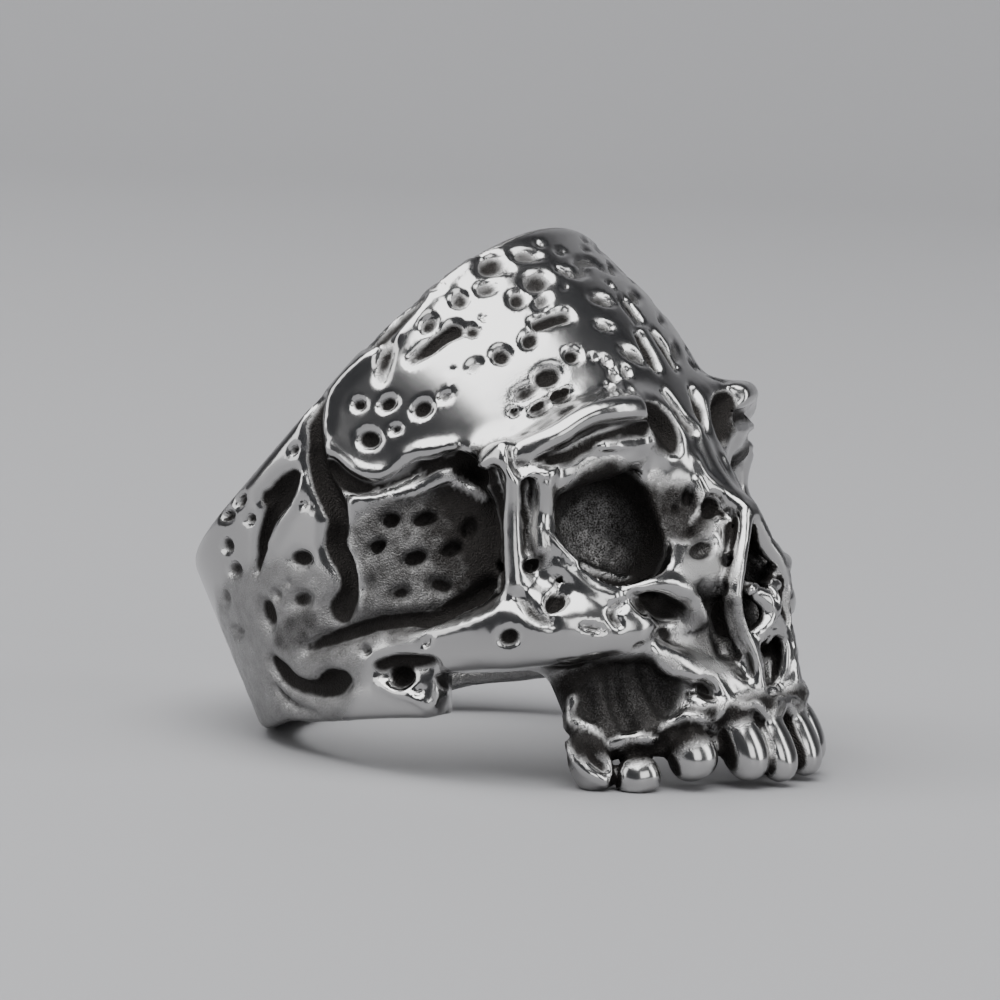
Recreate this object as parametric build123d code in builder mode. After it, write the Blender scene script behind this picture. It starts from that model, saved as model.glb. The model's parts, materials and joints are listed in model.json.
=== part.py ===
from build123d import *
import os
import numpy as np

# A man's signet-style ring cast in one piece as a skull without a lower jaw. It lies on its
# lower edge: on the molars in front and on the back of the band.
# Lengths are millimetres, angles degrees. The ring is worked out upright, with the finger
# hole along +W, U across and V towards the back, and then leaned back until it rests.

# The finger hole and the band
bore_radius = 10.3
band_wall = 2.0
band_width = 8.8
band_rise = 13.8      # lower edge of the band at the back, above the tips of the front teeth
rim_turn = 3.0        # how far behind the hole's axis the upper rim starts to climb
rim_round = 1.1
edge_round = 0.8

# The skull
crown_height = 29.3   # upper rim over the forehead, above the tips of the front teeth
face_depth = 7.3      # the nose's reach in front of the hole's wall
dome_wall = 2.6
temple_depth = 1.3
patch_depth = 0.5
patch_width = 8.0
patch_height = 3.4
fossa_depth = 1.1
fossa_width = 4.2
fossa_height = 4.4
brow_thickness = 3.0
strut_thickness = 2.3
cheek_thickness = 3.4
arch_thickness = 2.8
lobe_thickness = 2.3
nose_thickness = 2.6
gum_thickness = 1.7
maxilla_thickness = 1.6
bridge_side_width = 5.2
bridge_side_height = 6.8
bridge_side_depth = 2.4
socket_width = 6.2
socket_height = 6.6
socket_depth = 4.0
nostril_width = 3.0
nostril_height = 5.8
nostril_depth = 3.0
pocket_width = 2.0
pocket_height = 2.6
pocket_depth = 0.9
jaw_wall = 0.6
jaw_depth = 2.8
jaw_clearance = 1.5   # underside of the upper jaw's bone, above the ground
gum_step = 1.0        # how far the bone stands back below the gums
tooth_width = 2.5
tooth_depth = 2.5
tooth_length = 3.8
crack_width = 1.5
crack_depth = 0.7

# Fillets where forms run together, and round the hollows' edges
wide_fillet = 1.0
fillet = 0.7
tight_fillet = 0.4

# The surface is faceted in cells of this size, and of the coarse size behind the face
cell = 0.75
coarse_cell = 1.15
worn_flat = 0.12      # what the ground has worn off the lowest points

# How far the cells reach in front of and beside the hole, as shares of face_depth, and where
# they turn coarse, as shares of bore_radius along the depth and of crown_height upwards
FRONT_REACH, SIDE_REACH = 1.1, 0.6
COARSE_FROM, COARSE_ABOVE = -0.4, 0.68
nudge_size = 1e-3     # step over which the surface's slope is read
speck = 1e-9          # keeps a length from being zero

# Where forms sit: the angle round the hole from the face's middle line, the height off the
# hole's wall as a share of face_depth, the place along the hole as a share of crown_height,
# and the thickness as a share of the form's own
ANGLE, PROUD, ALONG, THICK = range(4)
BROW = [
    (0, 0.50, 0.590, 0.65),
    (7, 0.52, 0.605, 0.65),
    (13, 0.61, 0.640, 0.80),
    (19, 0.67, 0.647, 0.90),
    (27, 0.69, 0.641, 0.95),
    (36, 0.66, 0.628, 0.90),
    (42, 0.65, 0.627, 0.80),
    (46, 0.63, 0.632, 0.75),
]
BROW_UNDER = [
    (45, 0.60, 0.602, 0.50),
    (38, 0.61, 0.596, 0.60),
    (30, 0.62, 0.593, 0.65),
    (22, 0.60, 0.593, 0.60),
    (16, 0.57, 0.600, 0.50),
]
STRUT = [
    (43.5, 0.63, 0.605, 1.10),
    (44.8, 0.57, 0.545, 1.00),
    (47.0, 0.52, 0.490, 1.00),
    (49.5, 0.47, 0.425, 1.20),
]
ORBIT_RIM = [
    (43, 0.54, 0.491, 0.45),
    (39, 0.53, 0.452, 0.50),
    (32, 0.51, 0.405, 0.57),
    (25, 0.50, 0.380, 0.60),
    (19, 0.51, 0.378, 0.55),
    (14, 0.52, 0.410, 0.45),
]
CHEEK = [
    (54, 0.42, 0.385, 0.95),
    (46, 0.46, 0.362, 0.97),
    (38, 0.43, 0.338, 0.90),
    (33, 0.41, 0.326, 0.77),
]
ARCH = [
    (50, 0.46, 0.385, 1.25),
    (58, 0.42, 0.390, 1.15),
    (68, 0.34, 0.405, 0.95),
    (80, 0.25, 0.430, 0.90),
    (94, 0.17, 0.455, 1.00),
    (114, 0.09, 0.480, 1.00),
    (134, 0.03, 0.500, 0.80),
]
LOBE = [
    (79, 0.24, 0.355, 1.05),
    (90, 0.19, 0.385, 1.00),
    (106, 0.13, 0.418, 1.00),
    (126, 0.06, 0.455, 0.90),
]
NOSE = [
    (0, 0.42, 0.600, 1.00),
    (0, 0.48, 0.530, 0.90),
    (0, 0.58, 0.480, 0.70),
    (0, 0.70, 0.448, 0.55),
]
NOSE_SIDE = [
    (1.0, 0.75, 0.430, 0.45),
    (4.0, 0.69, 0.389, 0.48),
    (7.3, 0.65, 0.352, 0.50),
    (9.2, 0.60, 0.312, 0.50),
    (9.4, 0.54, 0.262, 0.48),
    (7.6, 0.49, 0.214, 0.48),
    (6.8, 0.42, 0.160, 0.52),
]
SEPTUM = [
    (0, 0.57, 0.280, 0.38),
    (0, 0.53, 0.225, 0.40),
    (0, 0.44, 0.155, 0.50),
]
MAXILLA = [
    (21, 0.50, 0.383, 1.00),
    (17, 0.50, 0.353, 0.85),
    (18, 0.45, 0.300, 0.80),
    (24, 0.40, 0.250, 0.85),
    (19, 0.37, 0.217, 0.85),
    (13, 0.37, 0.192, 0.85),
    (7, 0.38, 0.145, 0.90),
]
GUM = [
    (0, 0.40, 0.128, 0.75),
    (5.7, 0.42, 0.120, 0.70),
    (13.9, 0.38, 0.132, 0.70),
    (20, 0.34, 0.155, 0.75),
    (26.6, 0.31, 0.146, 0.70),
    (33.5, 0.25, 0.164, 0.75),
    (40.4, 0.21, 0.152, 0.70),
    (48, 0.15, 0.205, 0.75),
]

# Cracks in the brain case and the band: the angle, the place along the hole as a share of
# crown_height, and the depth as a share of crack_depth
DEPTH = 2
CRACKS = [
    [(54, 0.92, 0.6), (66, 0.89, 0.8), (76, 0.85, 0.9), (80, 0.79, 1.1), (82, 0.70, 1.1), (88, 0.53, 0.8)],
    [(48, 0.69, 0.8), (54, 0.70, 1.1), (62, 0.71, 1.0), (70, 0.72, 1.1), (80, 0.77, 1.0)],
    [(88, 0.78, 0.6), (94, 0.75, 0.9), (102, 0.70, 1.0), (110, 0.66, 0.7)],
    [(95, 0.43, 0.7), (106, 0.44, 0.9), (114, 0.48, 0.8)],
]

# The brain case: how far its middle lies in front of the hole's axis and its reach in front of
# the hole's wall, as shares of bore_radius and face_depth, its middle and half height, and the
# power that squares its outline as seen from the side
DOME_BACK, DOME_REACH, DOME_POWER = -0.29, 0.69, 2.7
DOME_MIDDLE, DOME_HALF = 0.55, 0.56

# Hollows, by the middle of each
BRIDGE_SIDE = (15.5, 0.87, 0.485)
SOCKET = (28.5, 0.62, 0.490)
NOSTRIL = (2.8, 0.62, 0.310)
POCKET = (3.4, 0.58, 0.195)
PATCH = (34, 0.86, 0.740)
FOSSA = (14.5, 0.66, 0.262)

# The hollow temple, by the angles of its rear and front edge and its lower and upper edge, and
# how wide its upper and lower edge fall away
TEMPLE_REAR, TEMPLE_FRONT = 79, 50
TEMPLE_LOW, TEMPLE_HIGH = 0.44, 0.69
TEMPLE_FADE = 6
temple_step = 1.5

# The upper jaw's bone: its top and its rear edge
JAW_TOP, JAW_REAR = 0.42, 50
JAW_END = 67          # the angle at which its swell has run out
JAW_SWELL = 1.2       # above one, the swell gathers at the front

# Teeth from the middle outwards: columns as above, then the shares of tooth_width, tooth_depth
# and tooth_length
WIDE, DEEP, LONG = range(3, 6)
TEETH = [
    (5.7, 0.37, 0.068, 0.84, 0.84, 1.00),
    (13.9, 0.32, 0.077, 0.84, 0.86, 0.95),
    (26.6, 0.27, 0.090, 0.90, 0.86, 0.70),
    (40.4, 0.21, 0.0965, 0.90, 0.90, 0.526),
    (49.5, 0.18, 0.145, 0.86, 0.94, 0.82),
]
GROUND_TOOTH = TEETH[3]

# The lower edge of the band: the angle and the height as a share of band_rise. It is cut high
# between the cheek and the lobe behind it
LOW_EDGE = [
    (46, 0.66),
    (60, 0.72),
    (73, 0.79),
    (77, 0.66),
    (85, 0.71),
    (101, 0.80),
    (123, 0.90),
    (180, 1.0),
]


def along(share):
    """Height along the finger hole."""
    return share * crown_height


def spot(row):
    """The point of a table's row, in the upright ring."""
    turn = np.radians(row[ANGLE])
    radius = bore_radius + row[PROUD] * face_depth
    return np.array([radius * np.sin(turn), -radius * np.cos(turn), along(row[ALONG])])


band_radius = bore_radius + band_wall
jaw_radius = bore_radius + jaw_wall
ground_spot = spot(GROUND_TOOTH)
ground_low = ground_spot[2] - GROUND_TOOTH[LONG] * tooth_length / 2
lean = np.arctan2(band_rise - ground_low, band_radius - ground_spot[1])


def above_ground(v, w):
    """Height of an upright ring's point once the ring has leaned back onto the ground."""
    return (band_radius - v) * np.sin(lean) + (w - band_rise) * np.cos(lean) - worn_flat


def join(a, b, blend):
    """Distance to two forms run together with a fillet."""
    h = np.clip(0.5 + 0.5 * (b - a) / blend, 0, 1)
    return b + (a - b) * h - blend * h * (1 - h)


def carve(a, b, blend):
    """Distance to form a with form b taken out of it."""
    return -join(-a, b, blend)


def lump(points, centre, radii):
    """Distance to an ellipsoid, near enough close to its surface."""
    q = (points - centre) / radii
    near = np.sqrt((q**2).sum(axis=1)) + speck
    slope = np.sqrt(((q / radii) ** 2).sum(axis=1)) + speck
    return near * (near - 1) / slope


def dome(points, centre, radii, power):
    """Distance to a dome, round when seen from above and squarer when seen from the side."""
    q = np.abs(points - centre) / radii + speck
    level = np.hypot(q[:, 0], q[:, 1])
    total = level**power + q[:, 2] ** power
    near = total ** (1 / power)
    flat = level ** (power - 2)
    slopes = np.stack([q[:, 0] * flat, q[:, 1] * flat, q[:, 2] ** (power - 1)], axis=1)
    slope = np.sqrt(((slopes / radii) ** 2).sum(axis=1)) * total ** (1 / power - 1) + speck
    return (near - 1) / slope


def eased(table, parts=4):
    """The table with rows worked in between its own on a smooth curve through them."""
    rows = np.array(table, float)
    before, after = 2 * rows[0] - rows[1], 2 * rows[-1] - rows[-2]
    rows = np.concatenate([[before], rows, [after]])
    t = np.arange(parts)[:, None] / parts
    spans = []
    for a, b, c, d in zip(rows, rows[1:], rows[2:], rows[3:]):
        bend = (2 * a - 5 * b + 4 * c - d) * t**2 + (3 * b - a - 3 * c + d) * t**3
        spans.append(b + ((c - a) * t + bend) / 2)
    return np.concatenate(spans + [rows[-2:-1]])


def rod(points, start, end, start_radius, end_radius):
    """Distance to a tapered bar with round ends."""
    run = end - start
    t = np.clip((points - start) @ run / (run @ run), 0, 1)
    gap = np.linalg.norm(points - start - t[:, None] * run, axis=1)
    return gap - start_radius - (end_radius - start_radius) * t


def bar(points, table, thickness):
    """Distance to a round bar that runs smoothly through a table's spots."""
    rows = eased(table)
    spots = [spot(row) for row in rows]
    radii = rows[:, THICK] * thickness / 2
    pieces = [rod(points, *ends) for ends in zip(spots, spots[1:], radii, radii[1:])]
    return np.minimum.reduce(pieces)


def turned_lump(points, row, wide, deep, long):
    """Distance to an ellipsoid at a row's spot, turned to face away from the hole."""
    turn = np.radians(row[ANGLE])
    q = points - spot(row)
    across = q[:, 0] * np.cos(turn) + q[:, 1] * np.sin(turn)
    outward = q[:, 0] * np.sin(turn) - q[:, 1] * np.cos(turn)
    radii = np.array([wide, deep, long]) / 2
    return lump(np.stack([across, outward, q[:, 2]], axis=1), np.zeros(3), radii)


def upper_rim(v, w):
    """Above zero past the upper rim, which is level behind and climbs over the forehead."""
    band_top = band_rise + band_width
    climb = (crown_height - band_top) / (rim_turn + bore_radius)
    level = w - band_top
    slanted = (w - band_top - climb * (rim_turn - v)) / np.hypot(1, climb)
    return join(level, slanted, 2 * band_wall)


def lower_edge(angle, w):
    """Above zero below the band's lower edge."""
    turns, shares = np.array(LOW_EDGE).T
    return np.interp(angle, turns, shares) * band_rise - w


def rise(value, start, stop):
    """Zero before start, one after stop, and an even curve between."""
    t = np.clip((value - start) / (stop - start), 0, 1)
    return t * t * (3 - 2 * t)


def relief(angle, w):
    """Depth of the cracks and the hollow temple below the brain case's surface. The cracks are
    measured on the band unrolled flat."""
    arc = np.radians(angle) * band_radius
    depth = np.zeros_like(w)
    for crack in CRACKS:
        for row, following in zip(crack, crack[1:]):
            start, end = [(np.radians(r[ANGLE]) * band_radius, along(r[1])) for r in (row, following)]
            run = np.subtract(end, start)
            t = np.clip(((arc - start[0]) * run[0] + (w - start[1]) * run[1]) / (run @ run), 0, 1)
            gap = np.hypot(arc - start[0] - t * run[0], w - start[1] - t * run[1])
            deep = crack_depth * (row[DEPTH] + (following[DEPTH] - row[DEPTH]) * t)
            depth = np.maximum(depth, deep * np.exp(-((gap / (crack_width / 2)) ** 2)))
    hollow = rise(TEMPLE_REAR - angle, -2, TEMPLE_REAR - TEMPLE_FRONT) * temple_depth
    hollow = hollow * rise(w, along(TEMPLE_LOW) - temple_step, along(TEMPLE_LOW))
    hollow = hollow * rise(along(TEMPLE_HIGH) - w, 0, temple_step)
    return depth + hollow * (angle > TEMPLE_FRONT - TEMPLE_FADE)


def head(u, v, w, points):
    """The band and the brain case that it widens into."""
    radius = np.hypot(u, v)
    angle = np.degrees(np.arctan2(u, -v))
    centre = np.array([0, DOME_BACK * bore_radius, along(DOME_MIDDLE)])
    front = bore_radius + DOME_REACH * face_depth + centre[1]
    radii = np.array([bore_radius + dome_wall, front, along(DOME_HALF)])
    form = join(radius - band_radius, dome(points, centre, radii, DOME_POWER), 2 * fillet)
    form = form + relief(angle, w)
    form = carve(form, -upper_rim(v, w), rim_round)
    return carve(form, -lower_edge(angle, w), edge_round)


def upper_jaw(u, v, w):
    """The bone that carries the teeth, deepest in front and thin beside the hole."""
    radius = np.hypot(u, v)
    angle = np.degrees(np.arctan2(u, -v))
    bulge = np.cos(np.pi / 2 * (angle / JAW_END).clip(0, 1)) ** JAW_SWELL
    turns, lips = np.array(GUM)[:, ANGLE], along(np.array(GUM)[:, ALONG])
    set_back = gum_step * rise(np.interp(angle, turns, lips) - w, 0, gum_step)
    form = radius - jaw_radius - (jaw_depth - set_back) * bulge
    form = carve(form, above_ground(v, w) - jaw_clearance, edge_round)
    form = carve(form, along(JAW_TOP) - w, edge_round)
    form = carve(form, np.radians(JAW_REAR - angle) * radius, edge_round)
    return carve(form, radius - bore_radius + edge_round, edge_round)


def skull(points):
    """Distance to the whole casting without its finger hole, one side mirrored to the other."""
    points = points.copy()
    points[:, 0] = np.abs(points[:, 0])
    u, v, w = points.T
    form = head(u, v, w, points)
    patch = turned_lump(points, PATCH, patch_width, 2 * patch_depth, patch_height)
    form = carve(form, patch, fillet)
    form = join(form, upper_jaw(u, v, w), wide_fillet)
    size = bridge_side_width, 2 * bridge_side_depth, bridge_side_height
    form = carve(form, turned_lump(points, BRIDGE_SIDE, *size), fillet)
    form = join(form, bar(points, BROW, brow_thickness), 2 * fillet)
    form = join(form, bar(points, STRUT, strut_thickness), tight_fillet)
    form = join(form, bar(points, ORBIT_RIM, brow_thickness), wide_fillet)
    form = join(form, bar(points, CHEEK, cheek_thickness), wide_fillet)
    form = join(form, bar(points, ARCH, arch_thickness), tight_fillet)
    form = join(form, bar(points, LOBE, lobe_thickness), tight_fillet)
    form = join(form, bar(points, NOSE, nose_thickness), wide_fillet)
    form = join(form, bar(points, GUM, gum_thickness), fillet)
    fossa = turned_lump(points, FOSSA, fossa_width, 2 * fossa_depth, fossa_height)
    form = carve(form, fossa, fillet)
    form = join(form, bar(points, MAXILLA, maxilla_thickness), fillet)
    nostril = turned_lump(points, NOSTRIL, nostril_width, 2 * nostril_depth, nostril_height)
    form = carve(form, nostril, tight_fillet)
    pocket = turned_lump(points, POCKET, pocket_width, 2 * pocket_depth, pocket_height)
    form = carve(form, pocket, tight_fillet)
    form = join(form, bar(points, NOSE_SIDE, nose_thickness), tight_fillet)
    form = join(form, bar(points, SEPTUM, nose_thickness), tight_fillet)
    socket = turned_lump(points, SOCKET, socket_width, 2 * socket_depth, socket_height)
    form = carve(form, socket, tight_fillet)
    form = join(form, bar(points, BROW_UNDER, brow_thickness), tight_fillet)
    for row in TEETH:
        size = row[WIDE] * tooth_width, row[DEEP] * tooth_depth, row[LONG] * tooth_length
        form = join(form, turned_lump(points, row, *size), tight_fillet / 2)
    return np.maximum(form, -above_ground(v, w))


def spaced(start, stop, size):
    """Even places from start to stop, no further apart than size."""
    return np.linspace(start, stop, int(np.ceil((stop - start) / size)) + 1)


def two_spaced(start, turn, stop):
    """Places from start to stop, fine as far as turn and coarse behind it."""
    return np.concatenate([spaced(start, turn, cell), spaced(turn, stop, coarse_cell)[1:]])


def separate(distance):
    """Fills lattice corners until no two filled ones meet only across a cell's face, so that
    the facets close everywhere."""
    filled = -0.02 * cell
    changed = True
    while changed:
        changed = False
        for axis in range(3):
            layers = np.moveaxis(distance, axis, 0)
            here, right = layers[:, :-1, :-1], layers[:, 1:, :-1]
            over, across = layers[:, :-1, 1:], layers[:, 1:, 1:]
            for one, two, gap, other in ((here, across, right, over), (right, over, here, across)):
                clash = (one < 0) & (two < 0) & (gap >= 0) & (other >= 0)
                gap[clash] = filled
                changed = changed or clash.any()


def surface_net(places, distance):
    """Corners and four-sided facets of the zero surface: a corner in each lattice cell that it
    crosses, the mean of its crossings of the cell's edges, and a facet round each edge."""
    grid = np.stack(np.meshgrid(*places, indexing="ij"), axis=-1)
    cells = tuple(n - 1 for n in distance.shape)
    total = np.zeros(cells + (3,))
    count = np.zeros(cells)
    for axis in range(3):
        near, spot_at = np.moveaxis(distance, axis, 0), np.moveaxis(grid, axis, 0)
        crossed = (near[:-1] < 0) != (near[1:] < 0)
        part = np.where(crossed, near[:-1] / np.where(crossed, near[:-1] - near[1:], 1), 0)
        meets = spot_at[:-1] + part[..., None] * (spot_at[1:] - spot_at[:-1])
        for right in (slice(None, -1), slice(1, None)):
            for over in (slice(None, -1), slice(1, None)):
                used = crossed[:, right, over]
                np.moveaxis(count, axis, 0)[used] += 1
                np.moveaxis(total, axis, 0)[used] += meets[:, right, over][used]
    held = count > 0
    number = np.cumsum(held).reshape(cells) - 1
    facets = []
    for axis in range(3):
        near, name = np.moveaxis(distance, axis, 0), np.moveaxis(number, axis, 0)
        inside = near[:-1, 1:-1, 1:-1] < 0
        a, b, c = np.nonzero(inside != (near[1:, 1:-1, 1:-1] < 0))
        ring = [name[a, b, c], name[a, b + 1, c], name[a, b + 1, c + 1], name[a, b, c + 1]]
        ring = np.stack(ring, axis=1)
        backward = inside[a, b, c] == (axis == 1)
        ring[backward] = ring[backward][:, ::-1]
        facets.append(ring)
    return total[held] / count[held][:, None], np.concatenate(facets)


def settle(points, size):
    """The points moved onto the skull's surface, by less than half of size in all."""
    start, nudge = points, nudge_size * np.eye(3)
    for _ in range(3):
        value = skull(points)
        slope = np.stack([skull(points + step) - value for step in nudge], axis=1) / nudge_size
        points = points - value[:, None] * slope / (slope**2).sum(axis=1)[:, None].clip(0.25)
        points = start + (points - start).clip(-size / 2, size / 2)
    return points


def even_out(points, facets, size):
    """The points drawn towards their neighbours, then settled back on the surface."""
    for _ in range(3):
        total = np.zeros_like(points)
        count = np.zeros(len(points))
        for k in (1, 3):
            np.add.at(total, facets, points[np.roll(facets, k, axis=1)])
            np.add.at(count, facets, 1)
        points = settle((points + total / count[:, None]) / 2, size)
    return points


def close_hole(points, facets):
    """The facets with those well inside the finger hole dropped, and the upper and the lower
    edge that they leave closed by a fan each, which the hole then removes."""
    deep = np.hypot(points[:, 0], points[:, 1]) < bore_radius - 1.5 * cell
    facets = facets[~deep[facets].all(axis=1)]
    sides = np.concatenate([facets[:, [k, (k + 1) % 4]] for k in range(4)])
    known = {tuple(side) for side in sides.tolist()}
    open_sides = np.array([side for side in known if side[::-1] not in known])
    middle = band_rise + band_width / 2
    above = points[open_sides[:, 0], 2] > middle
    tips = np.array([[0, 0, middle - band_width / 4], [0, 0, middle + band_width / 4]])
    fans = np.stack([open_sides[:, 1], open_sides[:, 0], len(points) + above], axis=1)
    return np.concatenate([points, tips]), facets, fans


def skin():
    """Corners and triangles of the upright casting, with its finger hole filled."""
    side = bore_radius + SIDE_REACH * face_depth
    back = band_radius + 2 * coarse_cell
    front = -(bore_radius + FRONT_REACH * face_depth)
    places = (
        spaced(-side, side, cell),
        two_spaced(front, COARSE_FROM * bore_radius, back),
        two_spaced(-2 * cell, along(COARSE_ABOVE), crown_height + 3 * cell),
    )
    grid = np.stack(np.meshgrid(*places, indexing="ij"), axis=-1)
    distance = skull(grid.reshape(-1, 3)).reshape(grid.shape[:3])
    separate(distance)
    points, facets = surface_net(places, distance)
    points = even_out(points, facets, cell)
    points, facets, fans = close_hole(points, facets)
    one = np.linalg.norm(points[facets[:, 0]] - points[facets[:, 2]], axis=1)
    two = np.linalg.norm(points[facets[:, 1]] - points[facets[:, 3]], axis=1)
    split = np.where((one < two)[:, None], facets, np.roll(facets, 1, axis=1))
    return points, np.concatenate([split[:, [0, 1, 2]], split[:, [0, 2, 3]], fans])


def leaned(points):
    """Upright points once the ring has leaned back onto the ground."""
    u, v, w = points.T
    return np.stack([u, v * np.cos(lean) + w * np.sin(lean), above_ground(v, w)], axis=1)


corners, triangles = skin()
resting = leaned(corners)
shown = np.hypot(corners[:, 0], corners[:, 1]) > bore_radius
middle_y = (resting[shown, 1].min() + resting[shown, 1].max()) / 2
resting[:, 1] -= middle_y
foot, top = leaned(np.array([[0, 0, 0], [0, 0, crown_height]]))
hole = Plane(origin=(0, foot[1] - middle_y, foot[2]), z_dir=tuple(top - foot))

vertices = [Vector(*point) for point in resting]
facets = [Face(Wire.make_polygon([vertices[i] for i in row])) for row in triangles]
casting = Solid(Shell(facets))

with BuildPart() as skull_ring:
    add(casting)
    with BuildSketch(hole):
        Circle(bore_radius)
    extrude(amount=2 * crown_height, both=True, mode=Mode.SUBTRACT)

skull_ring.part.label = "skull_ring"
os.makedirs("parts", exist_ok=True)
export_step(skull_ring.part, "parts/skull_ring.step")
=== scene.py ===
import json

import bpy
import numpy as np
from mathutils import Matrix


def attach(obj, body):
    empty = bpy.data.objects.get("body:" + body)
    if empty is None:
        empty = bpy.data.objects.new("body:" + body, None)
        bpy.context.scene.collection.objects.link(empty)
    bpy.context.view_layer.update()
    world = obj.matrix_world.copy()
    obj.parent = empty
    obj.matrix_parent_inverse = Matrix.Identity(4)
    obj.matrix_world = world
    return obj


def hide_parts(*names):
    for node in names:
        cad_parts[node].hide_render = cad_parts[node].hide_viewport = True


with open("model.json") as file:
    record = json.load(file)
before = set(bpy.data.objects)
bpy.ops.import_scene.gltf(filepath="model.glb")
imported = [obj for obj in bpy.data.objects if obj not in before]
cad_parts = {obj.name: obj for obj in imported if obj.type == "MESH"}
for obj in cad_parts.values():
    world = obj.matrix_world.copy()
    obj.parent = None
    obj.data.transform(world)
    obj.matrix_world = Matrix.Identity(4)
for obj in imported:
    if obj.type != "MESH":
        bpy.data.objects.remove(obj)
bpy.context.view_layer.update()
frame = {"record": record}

# A cast steel skull ring. The ring is worked out upright in millimetres, with the finger hole
# along +w, u across and v towards the back, and is put into the frame in metres at the end.
MM = 0.001
bore = next(m for m in frame["record"]["mounts"] if m["name"] == "finger_bore")

# Driving sizes, in millimetres, the same as the solid's
bore_radius = bore["dims"]["r_mm"]
band_wall = 2.0
band_width = 8.8
band_rise = 13.8
rim_turn = 3.0
crown_height = 29.3
face_depth = 7.3
dome_wall = 2.6
jaw_wall = 0.6
jaw_depth = 2.8
jaw_clearance = 1.5
worn_flat = 0.12
temple_depth = 1.3
gum_step = 1.0          # how far the bone stands back below the gums

# Roundings, crisper than the solid's
rim_round = 0.9
edge_round = 0.7

band_radius = bore_radius + band_wall
jaw_radius = bore_radius + jaw_wall
lean_sin, lean_cos = bore["axis"][1], bore["axis"][2]

# Fillets where forms run together
wide_fillet = 1.0
fillet = 0.7
tight_fillet = 0.35     # crisper than the solid's too

# The mesh's cell, the cells in a coarse one, their reach in front of and beside the hole as shares
# of face_depth, and how far off a bar its box stands in for it
cell = 0.22
coarse_step = 4
FRONT_REACH, SIDE_REACH = 1.1, 0.6
near_enough = 2.0
sure_reach = 1 + 1.3 * coarse_step * cell    # within this, the coarse distance isn't enough
least_slope = 0.25      # the square of the flattest slope that a point is moved by
filled = 0.02           # depth, in cells, of a lattice corner that is filled in
speck, hair = 1e-9, 1e-6    # keep a length, and a share of one, from being zero

# The fine work: its reach from the plain form, where it starts and is full off the finger hole's
# wall, and how far each kind reaches sideways
reach = 1.4
wall_start, wall_full = 0.2, 1.0
stroke_reach, pit_reach = 1.6, 2.0
longest_run = 2.5       # a longer run of a stroke jumps from one form to another

# The curves that strokes and pits are cut with: 2 is a bell curve, and a higher power has a
# flatter floor. A pit's raised rim has its height as a share of the pit's depth, its place and
# width as shares of the pit's half size, and is left out where other pits are deeper than the last
groove_power, crest_power, pit_power = 2.6, 2, 3.5
lip_height, lip_place, lip_width = 0.05, 1.45, 0.3
deepest_with_lip = 0.3

# The cast skin's unevenness: its depth, its waves' sizes and shares, how far and how fast they
# are bent, and their rates across, in depth and upwards
grain_depth = 0.09
GRAIN_WAVES = ((0.62, 0.6), (0.34, 0.4))
grain_bend, bend_rate = 0.25, 2.1
grain_rates = (2.3, 2.7, 2.5)

# The camera that the photograph was taken with, as far as the picture tells: its place is
# given from the spot where the finger hole's axis meets the ground
view_azimuth, view_elevation, view_roll = np.radians([-60.0, 6.5, 2.7])
view_distance = 300.0
focal_pixels = 6000.0
frame_pixels = 1000
pixels_per_mm = focal_pixels / view_distance
aim_right, aim_up, aim_back = -0.80, 12.28, 1.20
sensor_width = 36.0

# How a sight line is walked: the room before and behind the ring, the number of steps, and how
# much of the distance each step takes
room_before, room_behind = 30.0, 20.0
sight_steps, sight_share = 80, 0.7

# Where forms sit: the angle round the hole from the face's middle line in degrees, the height
# off the hole's wall as a share of face_depth, the place along the hole as a share of crown_height,
# and the bar's thickness in millimetres
ANGLE, PROUD, ALONG, THICK = range(4)
BROW = [
    (7, 0.50, 0.605, 1.8), (13, 0.61, 0.640, 2.4), (19.5, 0.67, 0.645, 2.7), (27.5, 0.69, 0.640, 2.8),
    (36, 0.66, 0.630, 2.7), (42, 0.66, 0.625, 2.4), (46.5, 0.64, 0.635, 2.1),
]
STRUT = [
    (46, 0.68, 0.635, 2.3), (46.5, 0.61, 0.585, 2.0), (48, 0.55, 0.530, 2.0),
    (50, 0.50, 0.475, 2.1), (52.5, 0.47, 0.420, 2.2),
]
STRUT_FRONT = [
    (39.5, 0.66, 0.590, 1.3), (41, 0.57, 0.545, 1.25), (43.5, 0.54, 0.490, 1.2), (45.5, 0.51, 0.440, 1.3),
]
STRUT_WEB = [
    (43, 0.50, 0.600, 1.8), (44.5, 0.43, 0.540, 1.8), (47, 0.39, 0.485, 1.8), (48.5, 0.37, 0.430, 2.0),
]
ORBIT_RIM = [
    (43, 0.55, 0.490, 1.1), (39.5, 0.54, 0.450, 1.2), (32.5, 0.52, 0.405, 1.7),
    (25.5, 0.50, 0.380, 1.9), (19, 0.51, 0.380, 1.6), (13.5, 0.52, 0.410, 1.2),
]
CHEEK = [
    (54, 0.42, 0.385, 3.2), (45.5, 0.46, 0.360, 3.3), (37.5, 0.43, 0.335, 3.0), (33.5, 0.42, 0.320, 2.9),
]
BROW_UNDER = [
    (45, 0.60, 0.600, 1.5), (38, 0.61, 0.595, 1.8), (30, 0.62, 0.595, 1.9),
    (22, 0.60, 0.595, 1.8), (16, 0.57, 0.600, 1.4),
]
ARCH = [
    (50, 0.46, 0.385, 3.5), (58, 0.42, 0.390, 3.2), (68, 0.34, 0.410, 2.6), (80, 0.25, 0.430, 2.5),
    (94, 0.17, 0.455, 2.8), (114, 0.09, 0.480, 2.8), (134, 0.03, 0.500, 2.2),
]
LOBE = [
    (79, 0.24, 0.355, 2.4), (90, 0.19, 0.385, 2.3), (106, 0.13, 0.420, 2.3), (126, 0.06, 0.455, 2.0),
]
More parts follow.
